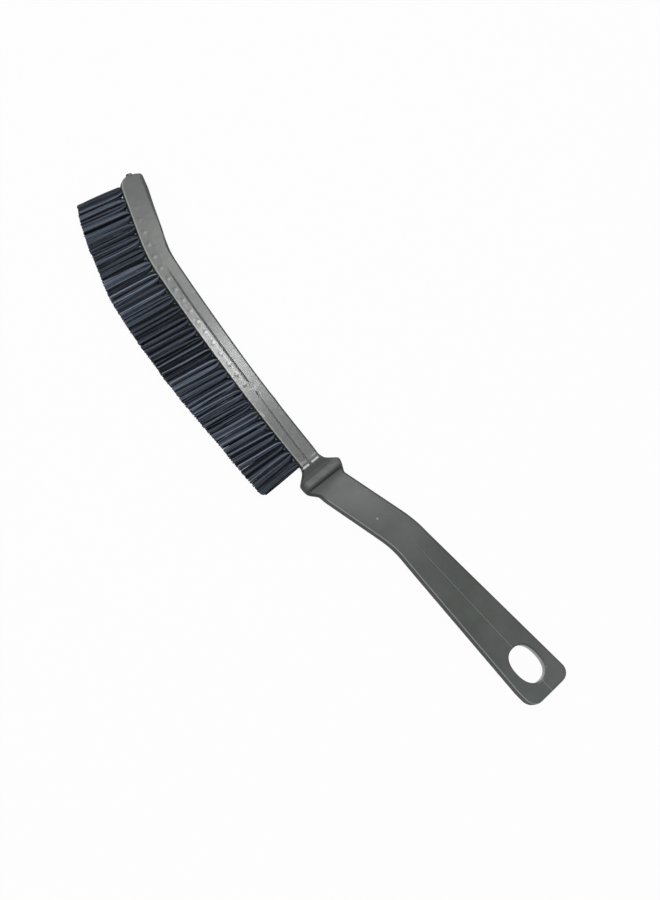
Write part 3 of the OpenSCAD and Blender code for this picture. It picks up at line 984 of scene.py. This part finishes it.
mouth = wires.add("ShaderNodeSeparateXYZ", {}, {"Vector": field("mouth", "FLOAT_VECTOR")})
final = wires.add("ShaderNodeCombineXYZ", {}, {
    "X": mouth.out("X") + row_x * lean_cos - out * lean_sin,
    "Y": mouth.out("Y") - row_x * lean_sin - out * lean_cos,
    "Z": mouth.out("Z") + row_y,
})
placed = wires.add("GeometryNodeSetPosition", {}, {"Geometry": placed, "Position": final})
placed = store(placed, "share", share)
ring = {"Resolution": STRAND_SIDES, "Radius": given.out("Strand radius")}
ring = wires.add("GeometryNodeCurvePrimitiveCircle", {}, ring)
tube = {"Curve": placed, "Profile Curve": ring, "Fill Caps": True}
placed = wires.add("GeometryNodeCurveToMesh", {}, tube)
placed = wires.add("GeometryNodeRealizeInstances", {}, {"Geometry": placed})
coated = {"Geometry": placed, "Material": given.out("Material")}
placed = wires.add("GeometryNodeSetMaterial", {}, coated)
wires.add("NodeGroupOutput", {}, {"Row": placed})

# Glossy black-blue nylon. Each filament has its own tone, which also carries painted shade on the
# core strands and painted light on the bundles' crests, and the cut ends are paler.
FILAMENT_DARK = (0.0025, 0.0035, 0.006, 1)
FILAMENT_LIT = (0.43, 0.515, 0.65, 1)
FILAMENT_STREAK = (0.36, 0.42, 0.53, 1)
CUT_END = (0.3, 0.32, 0.36, 1)
filament, wires, shader = new_material("black-blue bristle")
where = wires.add("ShaderNodeTexCoord").out("Object")
tone_and_painted_shade = wires.add("ShaderNodeAttribute", {"attribute_name": "tone_and_painted_shade"}).out("Fac")
share = wires.add("ShaderNodeAttribute", {"attribute_name": "share"}).out("Fac")
streaks = 0.4 * tone_and_painted_shade * wires.step(wires.noise(where, 700, 2), 0.45, 0.7)
cut_ends = wires.step(share, 0.97, 0.999) * wires.step(tone_and_painted_shade, 0.55, 0.8)
color = wires.blend(tone_and_painted_shade, FILAMENT_DARK, FILAMENT_LIT)
color = wires.blend(streaks, color, FILAMENT_STREAK)
color = wires.blend(cut_ends * 0.7, color, CUT_END)
wires.put(shader, "Base Color", color)
wires.put(shader, "Roughness", 0.42 + 0.1 * tone_and_painted_shade)
shader.inputs["Specular IOR Level"].default_value = 0.2
wires.put(shader, "Coat Weight", 0.8 * tone_and_painted_shade)
shader.inputs["Coat Roughness"].default_value = 0.3

growth = bristles.modifiers.new("row of tufts", "NODES")
growth.node_group = tufts
for name, size in TUFT_SIZES.items():
    growth[inputs[name]] = size
growth[finish] = filament
baked(bristles)
bristle_mesh = bristles.data
left_over = {*row_values, *stored} - {"tone_and_painted_shade"}
for name in [item.name for item in bristle_mesh.attributes if item.name in left_over]:
    bristle_mesh.attributes.remove(bristle_mesh.attributes[name])
bristle_mesh.shade_smooth()
bristle_mesh.set_sharp_from_angle(angle=math.radians(70))
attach(bristles, "root")
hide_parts(*["tuft_%02d" % (index + 1) for index in range(TUFTS)])

# The staples are small flat plates of drawn brass, one pressed across each hole over the fold of
# its tuft. They keep the CAD's shape, and only get their metal here.
BRASS = (0.72, 0.56, 0.26, 1)
BRASS_DARK = (0.42, 0.31, 0.12, 1)
brass, wires, shader = new_material("brass staple")
where = wires.add("ShaderNodeTexCoord").out("Object")
scratches = wires.noise(where, 1800, 3)
wires.put(shader, "Base Color", wires.blend(scratches, BRASS_DARK, BRASS))
wires.put(shader, "Roughness", 0.25 + 0.3 * scratches)
shader.inputs["Metallic"].default_value = 1
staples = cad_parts["tuft_staples"]
for holder in staples.material_slots:
    holder.material = brass

# The floor is plain white. It keeps a faint soft shadow of its own, and the camera and reflections
# see the rest of it nearly as bright as the backdrop, with a painted shadow that darkens it right
# under the brush.
FLOOR_HALF = 3
corners = [Vector((-1, -1, 0)), Vector((1, -1, 0)), Vector((1, 1, 0)), Vector((-1, 1, 0))]
floor_mesh = bpy.data.meshes.new("floor")
floor_mesh.from_pydata([FLOOR_HALF * corner for corner in corners], [], [(0, 1, 2, 3)])
floor = bpy.data.objects.new("floor", floor_mesh)
bpy.context.scene.collection.objects.link(floor)
floor_paint, wires, shader = new_material("floor")
shader.inputs["Base Color"].default_value = (0.8, 0.8, 0.8, 1)
shader.inputs["Roughness"].default_value = 0.9
shader.inputs["Specular IOR Level"].default_value = 0
# The glow dims where the brush closes in over the floor: a painted shadow.
open_sky = wires.add("ShaderNodeAmbientOcclusion", {"samples": 16}, {"Distance": 0.009}).out("AO")
glow_with_painted_shadow = wires.add("ShaderNodeEmission", {}, {"Strength": wires.step(open_sky, 0.1, 0.23)})
path = wires.add("ShaderNodeLightPath")
seen = path.out("Is Camera Ray").math("MAXIMUM", path.out("Is Glossy Ray")) * 0.97
surface = wires.add("ShaderNodeMixShader", {}, {0: seen, 1: Value(wires, shader.outputs[0]), 2: glow_with_painted_shadow})
wires.put(wires.tree.nodes["Material Output"], "Surface", surface)
floor_mesh.materials.append(floor_paint)


def lamp(name, size, power, location, aim=(0, 0, 0)):
    """An oblong lamp at a place in metres, turned to what it shines on."""
    data = bpy.data.lights.new(name, "AREA")
    data.shape = "RECTANGLE"
    data.size, data.size_y = size
    data.energy = power
    made = bpy.data.objects.new(name, data)
    bpy.context.scene.collection.objects.link(made)
    made.location = location
    made.rotation_mode = "QUATERNION"
    made.rotation_quaternion = (Vector(aim) - Vector(location)).to_track_quat("-Z", "Y")


# A narrow window shines on the middle of the blade, a lamp beyond its tip catches the step at
# the neck, and one on the bristles' side picks out the edges.
lamp("window", (0.072, 0.367), 2.0, (-0.113, 0.232, 1.1), (-0.115, 0, 0))
lamp("lamp beyond the tip", (0.25, 0.25), 2.5, (-0.94, 0.25, 0.7))
lamp("lamp on the bristles' side", (0.3, 0.3), 1.6, (-0.3, -0.86, 0.78))

# The room gives a dim, even light. The camera sees a white backdrop in its place.
world = bpy.data.worlds.new("studio")
world.use_nodes = True
bpy.context.scene.world = world
wires = Wires(world.node_tree)
room = world.node_tree.nodes["Background"]
room.inputs["Color"].default_value = (0.93, 0.95, 1, 1)
room.inputs["Strength"].default_value = 0.29
backdrop = wires.add("ShaderNodeBackground", {}, {"Color": (1, 1, 1, 1), "Strength": 1})
path = wires.add("ShaderNodeLightPath")
sky = wires.add("ShaderNodeMixShader", {}, {
    0: path.out("Is Camera Ray"),
    1: Value(wires, room.outputs[0]),
    2: backdrop,
})
wires.put(world.node_tree.nodes["World Output"], "Surface", sky)

bpy.context.scene.view_settings.view_transform = "Standard"
